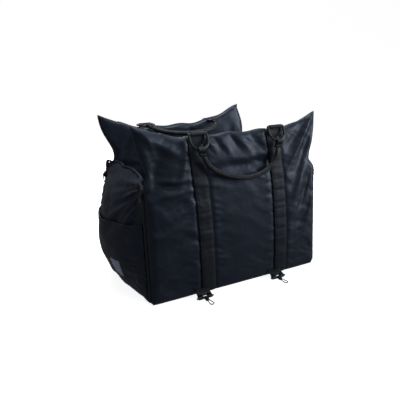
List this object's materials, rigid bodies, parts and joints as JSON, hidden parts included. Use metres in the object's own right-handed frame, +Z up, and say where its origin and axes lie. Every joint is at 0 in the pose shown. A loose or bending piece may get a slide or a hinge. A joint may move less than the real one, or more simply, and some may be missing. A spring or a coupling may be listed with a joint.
{
  "type": "padded changing bag",
  "caption": "Open padded nylon changing bag with bulging side gussets on corner zips, rolled carry handles on D-rings and hook straps at the foot of the front wall.",
  "frame": {"origin": "centre of the base's underside", "axes": "+X along the bag's width, -Y out of the front wall with the hook straps, +Z up"},
  "size_m": [0.6548, 0.4388, 0.441],
  "materials": {
    "nylon": "satin nylon, navy tinged",
    "lining": "plain weave",
    "fill": "polyester wadding",
    "webbing": "woven nylon webbing",
    "strap_webbing": "smooth coated webbing",
    "zip_tape": "woven tape",
    "zip_coil": "moulded coil",
    "zip_metal": "satin black",
    "binding": "bias tape",
    "board": "plain",
    "label": "blank woven label",
    "ring_metal": "gloss black",
    "hook_metal": "gunmetal"
  },
  "bodies": {
    "bag": {"front_shell": "nylon", "front_padding": "fill", "front_lining": "lining", "back_shell": "nylon", "back_padding": "fill", "back_lining": "lining", "left_gusset_shell": "nylon", "left_gusset_padding": "fill", "left_gusset_lining": "lining", "right_gusset_shell": "nylon", "right_gusset_padding": "fill", "right_gusset_lining": "lining", "base_shell": "nylon", "base_board": "board", "base_lining": "lining", "left_pocket": "nylon", "right_pocket": "nylon", "left_binding": "binding", "right_binding": "binding", "label_patch": "label", "front_left_webbing": "webbing", "front_right_webbing": "webbing", "back_left_webbing": "webbing", "back_right_webbing": "webbing", "front_left_tab": "webbing", "front_right_tab": "webbing", "back_left_tab": "webbing", "back_right_tab": "webbing", "front_left_zip_tape": "zip_tape", "front_right_zip_tape": "zip_tape", "back_left_zip_tape": "zip_tape", "back_right_zip_tape": "zip_tape", "zip_coils": "zip_coil", "zip_stops": "zip_metal"},
    "front_left_ring": {"front_left_ring": "ring_metal"},
    "front_right_ring": {"front_right_ring": "ring_metal"},
    "front_handle": {"front_handle": "webbing"},
    "back_left_ring": {"back_left_ring": "ring_metal"},
    "back_right_ring": {"back_right_ring": "ring_metal"},
    "back_handle": {"back_handle": "webbing"},
    "front_left_slider": {"front_left_slider": "zip_metal"},
    "front_right_slider": {"front_right_slider": "zip_metal"},
    "back_left_slider": {"back_left_slider": "zip_metal"},
    "back_right_slider": {"back_right_slider": "zip_metal"},
    "front_left_pull": {"front_left_pull": "hook_metal"},
    "front_right_pull": {"front_right_pull": "hook_metal"},
    "back_left_pull": {"back_left_pull": "hook_metal"},
    "back_right_pull": {"back_right_pull": "hook_metal"},
    "left_strap": {"left_strap": "strap_webbing"},
    "left_eye": {"left_eye": "hook_metal"},
    "left_hook": {"left_hook": "hook_metal"},
    "left_gate": {"left_gate": "hook_metal"},
    "right_strap": {"right_strap": "strap_webbing"},
    "right_eye": {"right_eye": "hook_metal"},
    "right_hook": {"right_hook": "hook_metal"},
    "right_gate": {"right_gate": "hook_metal"}
  },
  "joints": [
    {"name": "front_left_ring_swing", "type": "hinge", "parent": "bag", "child": "front_left_ring", "pos_m": [-0.111, -0.184, 0.41], "axis": [-1, 0, 0], "range_deg": [0, 240]},
    {"name": "front_right_ring_swing", "type": "hinge", "parent": "bag", "child": "front_right_ring", "pos_m": [0.111, -0.184, 0.41], "axis": [-1, 0, 0], "range_deg": [0, 240]},
    {"name": "back_left_ring_swing", "type": "hinge", "parent": "bag", "child": "back_left_ring", "pos_m": [-0.111, 0.184, 0.41], "axis": [-1, 0, 0], "range_deg": [0, 245]},
    {"name": "back_right_ring_swing", "type": "hinge", "parent": "bag", "child": "back_right_ring", "pos_m": [0.111, 0.184, 0.41], "axis": [-1, 0, 0], "range_deg": [0, 245]},
    {"name": "front_handle_swing", "type": "hinge", "parent": "front_left_ring", "child": "front_handle", "pos_m": [0, -0.20048, 0.37465], "axis": [1, 0, 0], "range_deg": [-155, 0]},
    {"name": "back_handle_swing", "type": "hinge", "parent": "back_left_ring", "child": "back_handle", "pos_m": [0, 0.14502, 0.40864], "axis": [1, 0, 0], "range_deg": [-91, 72]},
    {"name": "front_left_zip_slide", "type": "slide", "parent": "bag", "child": "front_left_slider", "axis": [0, 0, -1], "range_m": [0, 0.2564]},
    {"name": "front_left_pull_swing", "type": "hinge", "parent": "front_left_slider", "child": "front_left_pull", "pos_m": [-0.2566, -0.161, 0.2762], "axis": [0, 1, 0], "range_deg": [0, 170]},
    {"name": "front_right_zip_slide", "type": "slide", "parent": "bag", "child": "front_right_slider", "axis": [0, 0, -1], "range_m": [0, 0.2564]},
    {"name": "front_right_pull_swing", "type": "hinge", "parent": "front_right_slider", "child": "front_right_pull", "pos_m": [0.2566, -0.161, 0.2762], "axis": [0, -1, 0], "range_deg": [0, 170]},
    {"name": "back_left_zip_slide", "type": "slide", "parent": "bag", "child": "back_left_slider", "axis": [0, 0, -1], "range_m": [0, 0.2564]},
    {"name": "back_left_pull_swing", "type": "hinge", "parent": "back_left_slider", "child": "back_left_pull", "pos_m": [-0.2566, 0.161, 0.2762], "axis": [0, 1, 0], "range_deg": [0, 170]},
    {"name": "back_right_zip_slide", "type": "slide", "parent": "bag", "child": "back_right_slider", "axis": [0, 0, -1], "range_m": [0, 0.2564]},
    {"name": "back_right_pull_swing", "type": "hinge", "parent": "back_right_slider", "child": "back_right_pull", "pos_m": [0.2566, 0.161, 0.2762], "axis": [0, -1, 0], "range_deg": [0, 170]},
    {"name": "left_strap_fold", "type": "hinge", "parent": "bag", "child": "left_strap", "pos_m": [-0.119, -0.18078, 0.0175], "axis": [-1, 0, 0], "range_deg": [-60, 55]},
    {"name": "left_eye_swing", "type": "hinge", "parent": "left_strap", "child": "left_eye", "pos_m": [-0.119, -0.20217, 0.00455], "axis": [-1, 0, 0], "range_deg": [-60, 60]},
    {"name": "left_hook_swivel", "type": "hinge", "parent": "left_eye", "child": "left_hook", "pos_m": [-0.119, -0.20217, 0.00455], "axis": [0, -0.9976, -0.0698], "continuous": true},
    {"name": "left_gate_swing", "type": "hinge", "parent": "left_hook", "child": "left_gate", "pos_m": [-0.1222, -0.21673, 0.00353], "axis": [0, -0.0698, 0.9976], "range_deg": [0, 15], "stiffness_Nm_per_rad": 0.002, "springref_deg": -17.19},
    {"name": "right_strap_fold", "type": "hinge", "parent": "bag", "child": "right_strap", "pos_m": [0.103, -0.18078, 0.0175], "axis": [-1, 0, 0], "range_deg": [-60, 55]},
    {"name": "right_eye_swing", "type": "hinge", "parent": "right_strap", "child": "right_eye", "pos_m": [0.103, -0.20217, 0.00455], "axis": [-1, 0, 0], "range_deg": [-60, 60]},
    {"name": "right_hook_swivel", "type": "hinge", "parent": "right_eye", "child": "right_hook", "pos_m": [0.103, -0.20217, 0.00455], "axis": [0, -0.9976, -0.0698], "continuous": true},
    {"name": "right_gate_swing", "type": "hinge", "parent": "right_hook", "child": "right_gate", "pos_m": [0.0998, -0.21673, 0.00353], "axis": [0, -0.0698, 0.9976], "range_deg": [0, 15], "stiffness_Nm_per_rad": 0.002, "springref_deg": -17.19}
  ],
  "couplings": [
    {"joint": "front_right_ring_swing", "follows": "front_left_ring_swing", "ratio": 1},
    {"joint": "back_right_ring_swing", "follows": "back_left_ring_swing", "ratio": 1}
  ]
}
